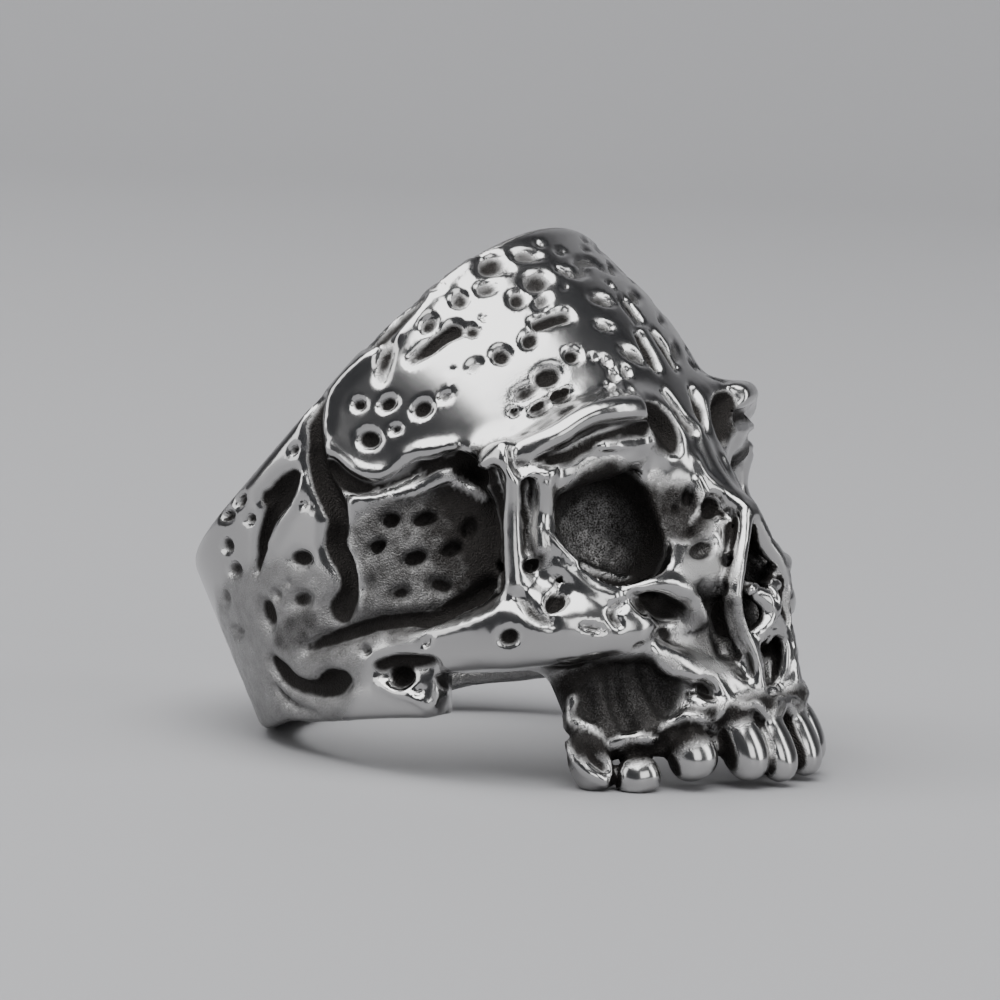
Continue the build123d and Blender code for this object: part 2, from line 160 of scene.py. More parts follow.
NOSE_BODY = [
    (0, 0.40, 0.600, 2.6), (0, 0.46, 0.530, 2.6), (0, 0.56, 0.465, 2.4),
]
NOSE_BRIDGE = [
    (0, 0.62, 0.600, 1.2), (0, 0.61, 0.545, 1.1), (0, 0.68, 0.490, 1.0),
    (0, 0.76, 0.460, 0.9), (0, 0.80, 0.435, 0.7),
]
NOSE_SIDE = [
    (1, 0.79, 0.435, 0.8), (4, 0.73, 0.390, 0.8), (7.5, 0.70, 0.350, 0.9), (9.5, 0.64, 0.315, 1.0),
    (9.5, 0.57, 0.260, 0.9), (7.5, 0.53, 0.215, 0.9), (7, 0.44, 0.155, 1.1),
]
NOSE_STEP = [
    (8.5, 0.62, 0.330, 0.7), (5, 0.66, 0.320, 0.7), (1, 0.66, 0.285, 0.7),
    (2.5, 0.60, 0.255, 0.7), (7.5, 0.53, 0.240, 0.8),
]
SEPTUM = [
    (0, 0.58, 0.260, 0.8), (0, 0.54, 0.240, 0.8),
]
MAXILLA = [
    (21.5, 0.50, 0.385, 1.6), (17.5, 0.50, 0.355, 1.3), (16.5, 0.47, 0.305, 1.1),
]
JAW_RIDGE = [
    (28, 0.42, 0.270, 1.1), (24.5, 0.40, 0.245, 1.5), (18.5, 0.37, 0.215, 1.6),
    (13, 0.37, 0.190, 1.6), (7, 0.38, 0.145, 1.4),
]
GUM = [
    (0, 0.40, 0.130, 1.1), (5.5, 0.43, 0.120, 0.9), (10, 0.42, 0.140, 1.1),
    (14, 0.38, 0.130, 0.9), (20, 0.34, 0.155, 1.1), (26.5, 0.31, 0.145, 0.9),
    (33.5, 0.25, 0.165, 1.1), (40.5, 0.21, 0.150, 1.0), (48, 0.15, 0.205, 1.1),
]

# Hollows: the middle of each as above, and its width, depth and height in millimetres
WIDE = 3
SOCKET = (28.5, 0.62, 0.490, 6.2, 8.0, 6.6)
NOSTRIL = (3.0, 0.60, 0.298, 2.7, 6.6, 5.0)
NOSTRIL_TOP = (0.4, 0.62, 0.380, 1.5, 6.0, 3.2)
POCKET = (2.4, 0.60, 0.185, 2.2, 3.0, 3.4)
PATCH = (34, 0.86, 0.740, 8.0, 1.0, 3.4)
BRIDGE_SIDE = (15.5, 0.87, 0.485, 5.2, 4.8, 6.8)
FOSSA = (14.5, 0.66, 0.262, 4.4, 2.6, 4.8)
UNDER_CHEEK = (37, 0.42, 0.222, 8.4, 2.6, 4.4)

# Teeth from the middle outwards, each a rounded block: the columns are as for the hollows
TEETH = [
    (5.7, 0.38, 0.068, 2.0, 2.0, 3.8),
    (13.6, 0.34, 0.082, 2.1, 2.2, 3.6),
    (26.6, 0.28, 0.096, 2.35, 2.2, 2.6),
    (40.4, 0.21, 0.094, 2.2, 2.2, 2.0),
    (49.5, 0.18, 0.145, 2.0, 2.3, 3.1),
]
tooth_power = 2.3       # how square a tooth is: 2 for an ellipsoid
tooth_taper = 0.07      # how much narrower a tooth gets for each millimetre upwards

# Places coloured black, partly the casting's own black and partly painted shade: the columns of a
# hollow and how black it is. A place fades from so far outside its edge to so far inside it
BLACK = 6
edge_outside, edge_inside = 0.5, 0.6
BLACK_AND_SHADE_PLACES = [
    (44, 0.20, 0.220, 9.5, 7.0, 4.8, 0.9),
    (29, 0.32, 0.135, 7.0, 3.0, 2.0, 0.9),
    (10, 0.38, 0.130, 6.0, 2.2, 1.0, 0.8),
    (44, 0.20, 0.175, 4.0, 3.0, 1.8, 0.8),
    (12.5, 0.48, 0.285, 2.8, 4.0, 3.8, 0.7),
    (55, 0.34, 0.555, 5.4, 3.0, 7.4, 0.75),
    (67, 0.36, 0.545, 8.6, 3.0, 8.0, 0.6),
    (88, 0.34, 0.510, 9.0, 3.0, 3.4, 0.5),
    (12, 0.58, 0.470, 3.4, 3.0, 3.4, 0.75),
    (33, 0.70, 0.745, 8.0, 3.0, 3.4, 0.14),
    # Painted shade: the band's back darkened to stand for a dark room mirrored in polished steel
    (118, 0.22, 0.520, 16.0, 6.0, 10.0, 0.38),
    (29, 0.55, 0.490, 5.6, 8.6, 6.0, 1.0),
    (2.5, 0.32, 0.310, 3.8, 4.6, 6.4, 1.0),
    (103, 0.20, 0.545, 5.0, 3.0, 2.4, 0.6),
    (26, 0.37, 0.132, 6.0, 3.0, 1.3, 0.85),
    (14, 0.44, 0.134, 6.0, 3.0, 1.2, 0.85),
    (3, 0.48, 0.128, 4.0, 3.0, 1.2, 0.8),
    (11.5, 0.72, 0.612, 2.2, 3.4, 2.3, 1.0),
    (45.5, 0.62, 0.535, 0.9, 3.0, 4.4, 0.9),
]

# Where the black has been rubbed thin and the grain of the casting shows; the first place is also a
# painted pool of light inside the eye socket
RUBBED_AND_LIT = [
    (25, 0.14, 0.500, 4.6, 4.0, 4.6, 0.6),
    (13, 0.63, 0.368, 3.6, 3.0, 2.6, 0.7),
    (15, 0.48, 0.262, 3.4, 3.6, 4.0, 0.5),
    (36, 0.26, 0.215, 7.0, 4.0, 3.4, 0.2),
]

# The height, in millimetres, that a worn crest is bright from, and where it is fully bright
worn_from, worn_full = 0.12, 0.22

# How sheltered a place is, which the material paints as shade: how far ahead the clearance is taken, and
# how much it counts
CLEARANCES = ((0.4, 0.35), (1.1, 0.35), (3.0, 0.3))

# Colours of the polished steel, the black that is partly the casting's own and partly painted shade, the
# floor and the room
STEEL, BLACK_AND_SHADE_COLOUR = (0.44, 0.437, 0.434, 1), (0.028, 0.026, 0.025, 1)
PALE_GREY, ROOM_GREY = (0.30, 0.30, 0.31, 1), (0.07, 0.072, 0.078, 1)
ring_middle = np.array([0, 0, 0.012])

# The brain case, the temple and the jaw's bone, as the solid has them
DOME_BACK, DOME_REACH, DOME_POWER = -0.29, 0.69, 2.7
DOME_MIDDLE, DOME_HALF = 0.55, 0.56
TEMPLE_REAR, TEMPLE_FRONT = 79, 50
TEMPLE_BEHIND, TEMPLE_FADE = 2, 6
TEMPLE_LOW, TEMPLE_HIGH = 0.44, 0.69
temple_step = 1.5
JAW_TOP, JAW_REAR, JAW_END = 0.42, 50, 67
JAW_SWELL = 1.2

# The lower edge of the band: the angle and the height as a share of band_rise
LOW_EDGE = [
    (46, 0.66), (60, 0.72), (73, 0.79), (77, 0.66), (85, 0.71), (101, 0.80), (123, 0.90), (180, 1.0),
]

# Pits of the casting, read off the photograph: the pixel of the middle, the length and the width
# in pixels, the length's turn from level in degrees, rising to the right, and the depth in
# millimetres
PIT_LONG, PIT_WIDE, PIT_TURN, PIT_DEEP = range(2, 6)
CROWN_PITS = [
    (492, 265, 31, 22, 12, 0.36), (508, 269, 12, 9, 0, 0.22), (460, 299, 21, 17, 10, 0.33),
    (487, 287, 26, 15, 14, 0.31), (537, 281, 31, 21, 8, 0.36), (518, 298, 20, 18, 0, 0.36),
    (542, 300, 20, 15, 42, 0.28), (564, 287, 8, 6, 0, 0.17), (429, 324, 21, 15, 48, 0.36),
    (456, 329, 20, 18, 0, 0.38), (472, 330, 18, 14, -12, 0.33), (483, 318, 9, 8, 0, 0.22),
    (531, 339, 22, 17, 36, 0.38), (502, 355, 22, 18, 0, 0.38), (475, 366, 22, 14, 28, 0.22),
    (452, 370, 6, 5, 0, 0.13), (526, 255, 34, 12, -4, 0.29), (561, 251, 12, 6, -10, 0.19),
    (583, 261, 20, 10, -10, 0.27), (540, 244, 12, 5, -8, 0.19), (584, 269, 13, 9, -30, 0.22),
    (611, 270, 14, 7, -30, 0.20), (612, 285, 14, 10, -50, 0.26), (636, 296, 16, 12, -50, 0.31),
    (662, 320, 12, 9, -60, 0.26), (677, 351, 22, 8, -75, 0.28), (436, 283, 10, 7, 30, 0.17),
    (405, 318, 12, 7, 50, 0.17),
]
SIDE_PITS = [
    (289, 425, 14, 9, 62, 0.34), (293, 450, 12, 8, 60, 0.34), (259, 466, 20, 10, 62, 0.40),
    (358, 404, 14, 12, 0, 0.40), (368, 439, 22, 19, 0, 0.50), (387, 403, 20, 14, 30, 0.42),
    (395, 429, 13, 9, 20, 0.34), (422, 408, 22, 17, 30, 0.45), (445, 396, 16, 9, 25, 0.30),
    (239, 501, 16, 9, 58, 0.36), (226, 516, 15, 11, 30, 0.36), (249, 519, 12, 10, 0, 0.36),
    (226, 546, 17, 12, -70, 0.36), (233, 570, 18, 14, -60, 0.36), (223, 598, 24, 12, -80, 0.28),
    (237, 632, 16, 13, -50, 0.28), (299, 559, 24, 18, -8, 0.45), (275, 595, 13, 10, -40, 0.32),
    (266, 614, 34, 15, -75, 0.42), (300, 600, 24, 20, 0, 0.36), (287, 583, 8, 6, 0, 0.22),
    (303, 504, 9, 7, 0, 0.28), (313, 508, 6, 5, 0, 0.2), (390, 520, 20, 15, 20, 0.6),
    (424, 519, 26, 13, 12, 0.55), (376, 547, 20, 13, 35, 0.55), (414, 558, 26, 15, 20, 0.6),
    (452, 549, 22, 12, 25, 0.5), (470, 528, 20, 14, 60, 0.45), (368, 585, 18, 10, 70, 0.2),
    (399, 593, 22, 15, 10, 0.4), (440, 585, 26, 15, -10, 0.45), (364, 650, 12, 10, 20, 0.34),
    (426, 642, 14, 7, 40, 0.34), (400, 677, 24, 21, 0, 0.75), (418, 692, 12, 8, 30, 0.25),
]
FACE_PITS = [
    (509, 638, 23, 18, 10, 0.45), (531, 566, 15, 13, 0, 0.6), (557, 600, 22, 17, 30, 0.6),
    (560, 580, 9, 6, -40, 0.3), (593, 628, 26, 7, -12, 0.30), (671, 612, 42, 25, -18, 0.8),
    (713, 506, 20, 23, -20, 0.7), (688, 497, 11, 26, -12, 0.5), (676, 508, 8, 14, 0, 0.3),
    (724, 512, 13, 10, -40, 0.4), (704, 548, 26, 17, 20, 0.6), (692, 530, 12, 9, 30, 0.3),
    (728, 560, 12, 9, 60, 0.25), (707, 689, 25, 18, -60, 0.36), (722, 590, 14, 9, 80, 0.2),
    (640, 648, 12, 8, 30, 0.2), (549, 376, 30, 21, 15, 0.45), (573, 355, 15, 13, 0, 0.45),
    (527, 392, 32, 14, 25, 0.35), (562, 395, 24, 12, 18, 0.35), (515, 412, 14, 10, 30, 0.3),
    (540, 408, 26, 12, 25, 0.28), (606, 362, 12, 8, -50, 0.24), (614, 376, 14, 9, -40, 0.26),
    (608, 386, 12, 8, 20, 0.22), (626, 372, 14, 8, -50, 0.24), (630, 390, 14, 8, -30, 0.22),
    (594, 358, 9, 7, 0, 0.2),
]

# Strokes read off the photograph: pixels that a line runs through, with its width there and the
# depth of a groove or the height of a crest, in millimetres
STROKE_WIDE = 2
GROOVES = {
    "rim groove": [
        (474, 249, 0.5, 0.2), (452, 266, 0.7, 0.45), (428, 287, 0.8, 0.5), (391, 325, 1.0, 0.55),
        (362, 348, 0.9, 0.5), (340, 366, 0.8, 0.5), (322, 392, 0.8, 0.5), (313, 418, 0.9, 0.55),
        (314, 445, 1.0, 0.6)],
    "rim branch": [(389, 330, 0.8, 0.4), (385, 352, 0.8, 0.45), (380, 378, 0.7, 0.2)],
    "crown chain": [
        (412, 359, 0.6, 0.3), (428, 348, 0.75, 0.45), (443, 336, 0.8, 0.5), (455, 329, 0.9, 0.5)],
    "crown slot": [(538, 324, 0.75, 0.42), (552, 319, 0.75, 0.42), (566, 315, 0.75, 0.42)],
    "crown slit": [(558, 268, 0.4, 0.25), (569, 272, 0.55, 0.3), (580, 276, 0.4, 0.2)],
    "front slit": [(622, 301, 0.5, 0.3), (630, 311, 0.6, 0.35), (637, 321, 0.5, 0.25)],
    "first slot": [(641, 336, 0.7, 0.4), (648, 350, 0.8, 0.5), (657, 366, 0.7, 0.4)],
    "left crack": [
        (314, 452, 1.1, 0.7), (318, 475, 1.2, 0.85), (329, 500, 1.3, 0.9), (337, 520, 1.2, 0.9),
        (334, 545, 1.3, 0.95), (345, 570, 1.2, 0.85), (347, 592, 1.2, 0.7), (338, 610, 1.6, 0.6)],
    "lip crack": [
        (331, 470, 1.2, 0.8), (352, 484, 1.0, 0.7), (382, 488, 0.9, 0.6), (410, 474, 1.3, 0.95),
        (434, 466, 0.9, 0.6), (457, 461, 1.0, 0.75), (484, 480, 0.9, 0.6)],
    "rear crack": [
        (291, 478, 0.9, 0.6), (280, 493, 1.4, 0.8), (268, 514, 0.9, 0.7), (260, 541, 0.8, 0.7),
        (255, 571, 0.5, 0.4)],
    "rear notch": [(278, 494, 1.2, 0.7), (264, 500, 0.9, 0.5)],
    "behind strut": [
        (494, 478, 1.1, 0.9), (492, 510, 1.3, 1.1), (494, 545, 1.3, 1.1), (496, 580, 1.1, 0.8)],
    "over the arch": [
        (305, 648, 0.7, 0.35), (345, 634, 0.9, 0.5), (388, 622, 0.9, 0.5), (430, 618, 1.0, 0.5),
        (462, 606, 1.0, 0.5), (490, 587, 1.0, 0.5)],
    "leaf groove": [
        (273, 664, 0.9, 0.5), (282, 676, 1.2, 0.6), (296, 687, 1.1, 0.55), (316, 690, 1.0, 0.55),
        (330, 684, 1.4, 0.7), (342, 681, 1.0, 0.55)],
    "under the lobe": [(275, 690, 0.6, 0.3), (292, 706, 0.6, 0.3), (315, 714, 0.5, 0.2)],
    "between lobe and arch": [
        (378, 668, 0.9, 0.4), (392, 664, 0.9, 0.5), (412, 664, 0.9, 0.5), (430, 664, 0.8, 0.4)],
    "strut groove": [(527, 484, 0.7, 0.6), (527, 520, 0.7, 0.65), (528, 550, 0.6, 0.45)],
    "strut notch": [(513, 455, 0.7, 0.4), (518, 466, 0.9, 0.6), (530, 466, 0.7, 0.4)],
    "brow hole": [
        (651, 406, 1.0, 0.7), (662, 414, 1.5, 1.2), (672, 430, 1.5, 1.2), (676, 444, 1.0, 0.7)],
    "brow edge": [
        (528, 468, 0.7, 0.35), (556, 457, 0.9, 0.8), (576, 450, 1.1, 1.0), (590, 441, 1.2, 1.1),
        (604, 432, 1.0, 0.9), (626, 428, 0.8, 0.7), (650, 430, 0.9, 0.7)],
    "brow hollow": [(610, 440, 1.1, 0.3), (628, 438, 1.2, 0.35), (648, 438, 1.0, 0.3)],
    "brow underside": [(566, 466, 0.8, 0.3), (588, 455, 0.9, 0.35), (600, 447, 0.8, 0.3)],
    "cheek fold": [(622, 604, 0.5, 0.25), (613, 612, 0.5, 0.35), (619, 623, 0.5, 0.3)],
    "behind the cheek": [(636, 597, 0.7, 0.4), (646, 606, 0.8, 0.5)],
    "cheek seam": [(520, 598, 0.6, 0.3), (536, 616, 0.7, 0.3), (552, 622, 0.6, 0.25)],
    "fossa back": [(703, 590, 0.8, 0.4), (716, 618, 1.0, 0.5), (722, 650, 0.8, 0.35)],
    "fossa front": [(734, 610, 0.7, 0.4), (742, 640, 0.7, 0.4), (750, 672, 0.6, 0.35)],
    "nasion": [(693, 390, 0.6, 0.3), (700, 408, 0.8, 0.45), (706, 428, 0.7, 0.35)],
    "blade groove": [(584, 738, 0.6, 0.3), (592, 756, 0.7, 0.45), (606, 768, 0.6, 0.35)],
    "wall one": [(612, 668, 0.8, 0.3), (616, 700, 0.9, 0.4), (628, 728, 0.8, 0.3)],
    "wall two": [(644, 672, 0.8, 0.3), (662, 704, 1.0, 0.4), (676, 728, 0.9, 0.35)],
    "wall three": [(586, 690, 0.8, 0.3), (590, 715, 0.8, 0.3)],
}
CRESTS = {
    "rim crest": [
        (470, 262, 0.6, 0.12), (436, 292, 0.7, 0.16), (400, 334, 0.7, 0.2), (350, 372, 0.7, 0.16),
        (331, 398, 0.6, 0.14), (326, 430, 0.6, 0.12)],
    "plate edge": [
        (352, 501, 0.6, 0.22), (349, 518, 0.6, 0.25), (343, 533, 0.6, 0.25), (353, 553, 0.6, 0.25),
        (361, 577, 0.7, 0.25), (362, 605, 0.7, 0.2)],
    "plate top": [
        (354, 499, 0.6, 0.25), (382, 494, 0.6, 0.25), (408, 492, 0.6, 0.28), (430, 484, 0.6, 0.28),
        (452, 479, 0.6, 0.28), (484, 497, 0.7, 0.25)],
    "upper lip": [
        (328, 447, 0.8, 0.2), (345, 464, 0.9, 0.28), (372, 476, 0.9, 0.3), (400, 468, 0.8, 0.2),
        (418, 453, 0.8, 0.25), (450, 449, 0.8, 0.2)],
    "rear lip": [
        (303, 478, 0.5, 0.12), (296, 498, 0.6, 0.2), (284, 520, 0.6, 0.22), (272, 545, 0.6, 0.2)],
    "lobe crest": [
        (378, 684, 0.5, 0.2), (396, 692, 0.5, 0.25), (414, 698, 0.5, 0.25), (428, 706, 0.5, 0.2)],
    "arch crest": [
        (400, 640, 0.8, 0.12), (440, 634, 0.9, 0.15), (478, 622, 0.9, 0.15), (500, 612, 0.9, 0.15)],
    "orbit edge": [
        (548, 533, 0.5, 0.25), (558, 547, 0.5, 0.3), (574, 562, 0.5, 0.3), (598, 574, 0.5, 0.3),
        (628, 580, 0.5, 0.25)],
    "brow top": [
        (526, 444, 0.9, 0.25), (558, 434, 1.4, 0.42), (587, 417, 1.6, 0.5), (611, 409, 1.6, 0.5),
        (636, 406, 1.4, 0.42)],
    "brow lip": [(598, 448, 0.5, 0.2), (625, 446, 0.5, 0.25), (652, 442, 0.5, 0.2)],
    "strut knob": [(504, 450, 1.2, 0.4), (507, 462, 1.2, 0.4)],
    "strut back": [
        (509, 474, 1.3, 0.45), (511, 510, 1.2, 0.45), (512, 552, 1.2, 0.45), (514, 584, 1.2, 0.35)],
    "strut bar": [(522, 473, 0.8, 0.3), (536, 470, 0.8, 0.35), (548, 474, 0.8, 0.3)],
    "strut front": [
        (544, 484, 0.9, 0.45), (542, 505, 0.9, 0.45), (539, 530, 0.9, 0.45), (541, 548, 0.8, 0.3)],
    "cheek top": [(560, 566, 0.8, 0.2), (590, 588, 0.9, 0.25), (614, 598, 0.8, 0.25)],
    "maxilla arm": [
        (633, 591, 0.7, 0.25), (654, 584, 0.8, 0.28), (676, 585, 0.8, 0.28), (694, 594, 0.7, 0.25),
        (702, 612, 0.6, 0.25), (708, 630, 0.5, 0.2)],
    "jaw arm": [
        (654, 652, 0.6, 0.22), (668, 668, 0.7, 0.25), (690, 674, 0.8, 0.25), (712, 682, 0.8, 0.25),
        (728, 700, 0.7, 0.25), (748, 706, 0.7, 0.2)],
    "bridge": [
        (696, 460, 0.6, 0.2), (704, 476, 0.6, 0.25), (722, 493, 0.6, 0.25), (744, 507, 0.6, 0.2)],
    "wall ridge": [
        (573, 700, 0.7, 0.25), (572, 720, 0.7, 0.25), (590, 728, 0.6, 0.25), (606, 742, 0.6, 0.2)],
    "tooth collar": [(612, 744, 0.6, 0.3), (630, 737, 0.7, 0.3), (652, 739, 0.6, 0.3)],
    "corner ridge": [
        (696, 480, 0.4, 0.2), (701, 494, 0.45, 0.25), (699, 510, 0.45, 0.25), (690, 524, 0.4, 0.2)],
    "blade": [(566, 716, 0.5, 0.2), (570, 745, 0.6, 0.28), (582, 768, 0.6, 0.28), (604, 782, 0.5, 0.2)],
    "hole lip": [(693, 699, 0.5, 0.2), (704, 705, 0.5, 0.28), (716, 702, 0.5, 0.2)],
    "nose edge": [
        (744, 513, 0.6, 0.15), (745, 532, 0.6, 0.2), (741, 562, 0.6, 0.2), (737, 598, 0.6, 0.2),
        (744, 626, 0.6, 0.2), (753, 650, 0.6, 0.2), (762, 686, 0.6, 0.15)],
    "pocket rim": [
        (748, 592, 0.5, 0.2), (760, 585, 0.5, 0.25), (773, 593, 0.5, 0.25), (777, 608, 0.5, 0.25),
        (768, 624, 0.5, 0.25), (756, 634, 0.5, 0.2)],
    "second pocket rim": [
        (768, 632, 0.5, 0.2), (780, 632, 0.5, 0.25), (786, 648, 0.5, 0.25), (784, 672, 0.5, 0.25),
        (774, 690, 0.5, 0.2)],
    "gum edge": [
        (716, 716, 0.5, 0.25), (727, 702, 0.5, 0.3), (742, 707, 0.5, 0.25), (756, 704, 0.5, 0.3),
        (768, 716, 0.5, 0.25), (780, 700, 0.5, 0.3), (794, 712, 0.5, 0.25)],
    "third collar": [
        (660, 728, 0.5, 0.2), (676, 718, 0.6, 0.3), (700, 718, 0.6, 0.3), (714, 730, 0.5, 0.2)],
}


def along(share):
    """Height along the finger hole."""
    return share * crown_height


def spot(row):
    """The point of a table's row, in the upright ring."""
    turn = np.radians(row[ANGLE])
    radius = bore_radius + row[PROUD] * face_depth
    return np.array([radius * np.sin(turn), -radius * np.cos(turn), along(row[ALONG])])


def folded(points):
    """The points with the far side's mirrored to the near side, where everything is charted."""
    return np.column_stack([np.abs(points[:, 0]), points[:, 1:]])


def above_ground(v, w):
    """Height of an upright ring's point once the ring has leaned back onto the ground."""
    return (band_radius - v) * lean_sin + (w - band_rise) * lean_cos - worn_flat


def join(a, b, blend):
    """Distance to two forms run together with a fillet: the smaller distance, less a parabola
    where the two are within the fillet of each other."""
    h = np.clip(0.5 + 0.5 * (b - a) / blend, 0, 1)
    return b + (a - b) * h - blend * h * (1 - h)


def carve(a, b, blend):
    """Distance to form a with form b taken out of it."""
    return -join(-a, b, blend)


def rise(value, start, stop):
    """Zero before start, one after stop, and an even curve between."""
    t = np.clip((value - start) / (stop - start), 0, 1)
    return t * t * (3 - 2 * t)


def lump(points, radii):
    """Distance to an ellipsoid, near enough close to its surface: how far its level is above
    one, over the level's slope."""
    q = points / radii
    near = np.sqrt((q**2).sum(axis=1)) + speck
    slope = np.sqrt(((q / radii) ** 2).sum(axis=1)) + speck
    return near * (near - 1) / slope


def dome(points, centre, radii, power):
    """Distance to a dome, round when seen from above and squarer when seen from the side: the
    level distance from its axis and the height are summed at a power, and the sum's root is
    taken over its slope."""
    q = np.abs(points - centre) / radii + hair
    level = np.hypot(q[:, 0], q[:, 1])
    total = level**power + q[:, 2] ** power
    near = total ** (1 / power)
    flat = level ** (power - 2)
    slopes = np.stack([q[:, 0] * flat, q[:, 1] * flat, q[:, 2] ** (power - 1)], axis=1)
    slope = np.sqrt(((slopes / radii) ** 2).sum(axis=1)) * total ** (1 / power - 1) + speck
    return (near - 1) / slope


def block(points, radii, power):
    """Distance to a block with rounded sides: an ellipsoid whose squares are higher powers."""
    q = np.abs(points) / radii + hair
    total = (q**power).sum(axis=1)
    near = total ** (1 / power)
    slopes = q ** (power - 1) / radii
    slope = np.sqrt((slopes**2).sum(axis=1)) * total ** (1 / power - 1) + speck
    return (near - 1) / slope


def eased(table, parts=4):
    """The table with rows worked in between its own, on cubics through each row whose slope
    there is half the step from the row before to the row after."""
    rows = np.array(table, float)
    before, after = 2 * rows[0] - rows[1], 2 * rows[-1] - rows[-2]
    rows = np.concatenate([[before], rows, [after]])
    t = np.arange(parts)[:, None] / parts
    spans = []
    for a, b, c, d in zip(rows, rows[1:], rows[2:], rows[3:]):
        bend = (2 * a - 5 * b + 4 * c - d) * t**2 + (3 * b - a - 3 * c + d) * t**3
        spans.append(b + ((c - a) * t + bend) / 2)
    return np.concatenate(spans + [rows[-2:-1]])


def rod(points, start, end, start_radius, end_radius):
    """Distance to a tapered bar with round ends: from its line, less its radius there."""
    run = end - start
    t = np.clip((points - start) @ run / (run @ run), 0, 1)
    gap = np.linalg.norm(points - start - t[:, None] * run, axis=1)
    return gap - start_radius - (end_radius - start_radius) * t


def bar(points, table):
    """Distance to a round bar that runs smoothly through a table's spots. Well away from it,
    the distance to its box does as well."""
    rows = eased(table)
    spots = np.array([spot(row) for row in rows])
    radii = rows[:, THICK] / 2
    low, high = spots.min(axis=0) - radii.max(), spots.max(axis=0) + radii.max()
    distance = np.linalg.norm(np.maximum(0, np.maximum(low - points, points - high)), axis=1)
    near = distance < near_enough
    pieces = [rod(points[near], *ends) for ends in zip(spots, spots[1:], radii, radii[1:])]
    distance[near] = np.minimum.reduce(pieces)
    return distance


def turned(points, row):
    """The points as seen from a row's spot: across, outward from the hole, and along it."""
    turn = np.radians(row[ANGLE])
    q = points - spot(row)
    across = q[:, 0] * np.cos(turn) + q[:, 1] * np.sin(turn)
    outward = q[:, 0] * np.sin(turn) - q[:, 1] * np.cos(turn)
    return np.stack([across, outward, q[:, 2]], axis=1)


def turned_lump(points, row):
    """Distance to an ellipsoid at a row's spot, turned to face away from the hole."""
    return lump(turned(points, row), np.array(row[WIDE:]) / 2)


def tooth(points, row):
    """Distance to a tooth, a rounded block that narrows towards its root."""
    q = turned(points, row)
    q[:, 0] *= 1 + tooth_taper * q[:, 2]
    return block(q, np.array(row[WIDE:]) / 2, tooth_power)


def upper_rim(v, w):
    """Above zero past the upper rim, which is level behind and climbs over the forehead: two
    planes run together."""
    band_top = band_rise + band_width
    climb = (crown_height - band_top) / (rim_turn + bore_radius)
    level = w - band_top
    slanted = (w - band_top - climb * (rim_turn - v)) / np.hypot(1, climb)
    return join(level, slanted, 2 * band_wall)


def lower_edge(angle, w):
    """Above zero below the band's lower edge, straight between the table's angles."""
    turns, shares = np.array(LOW_EDGE).T
    return np.interp(angle, turns, shares) * band_rise - w


def temple(angle, w):
    """Depth of the hollow temple below the brain case's surface: it eases in from behind, from
    below and from above, and ends at the face."""
    hollow = rise(TEMPLE_REAR - angle, -TEMPLE_BEHIND, TEMPLE_REAR - TEMPLE_FRONT) * temple_depth
    hollow = hollow * rise(w, along(TEMPLE_LOW) - temple_step, along(TEMPLE_LOW))
    hollow = hollow * rise(along(TEMPLE_HIGH) - w, 0, temple_step)
    return hollow * (angle > TEMPLE_FRONT - TEMPLE_FADE)


def head(u, v, w, points, hollows):
    """The band and the brain case that it widens into: a round bar and a dome run together,
    hollowed at the temples and cut off at the upper rim and the lower edge."""
    radius = np.hypot(u, v)
    angle = np.degrees(np.arctan2(u, -v))
    centre = np.array([0, DOME_BACK * bore_radius, along(DOME_MIDDLE)])
    front = bore_radius + DOME_REACH * face_depth + centre[1]
    radii = np.array([bore_radius + dome_wall, front, along(DOME_HALF)])
    form = join(radius - band_radius, dome(points, centre, radii, DOME_POWER), 2 * fillet)
    form = form + hollows * temple(angle, w)
    form = carve(form, -upper_rim(v, w), rim_round)
    return carve(form, -lower_edge(angle, w), edge_round)


def upper_jaw(u, v, w):
    """The bone that carries the teeth, deepest in front and thin beside the hole: its depth
    follows a cosine of the angle, and it stands back below the gums."""
    radius = np.hypot(u, v)
    angle = np.degrees(np.arctan2(u, -v))
    bulge = np.cos(np.pi / 2 * (angle / JAW_END).clip(0, 1)) ** JAW_SWELL
    turns, lips = np.array(GUM)[:, ANGLE], along(np.array(GUM)[:, ALONG])
    set_back = gum_step * rise(np.interp(angle, turns, lips) - w, 0, gum_step)
    form = radius - jaw_radius - jaw_depth * bulge + set_back * bulge
    form = carve(form, above_ground(v, w) - jaw_clearance, edge_round)
    form = carve(form, along(JAW_TOP) - w, edge_round)
    form = carve(form, np.radians(JAW_REAR - angle) * radius, edge_round)
    return carve(form, radius - bore_radius + edge_round, edge_round)


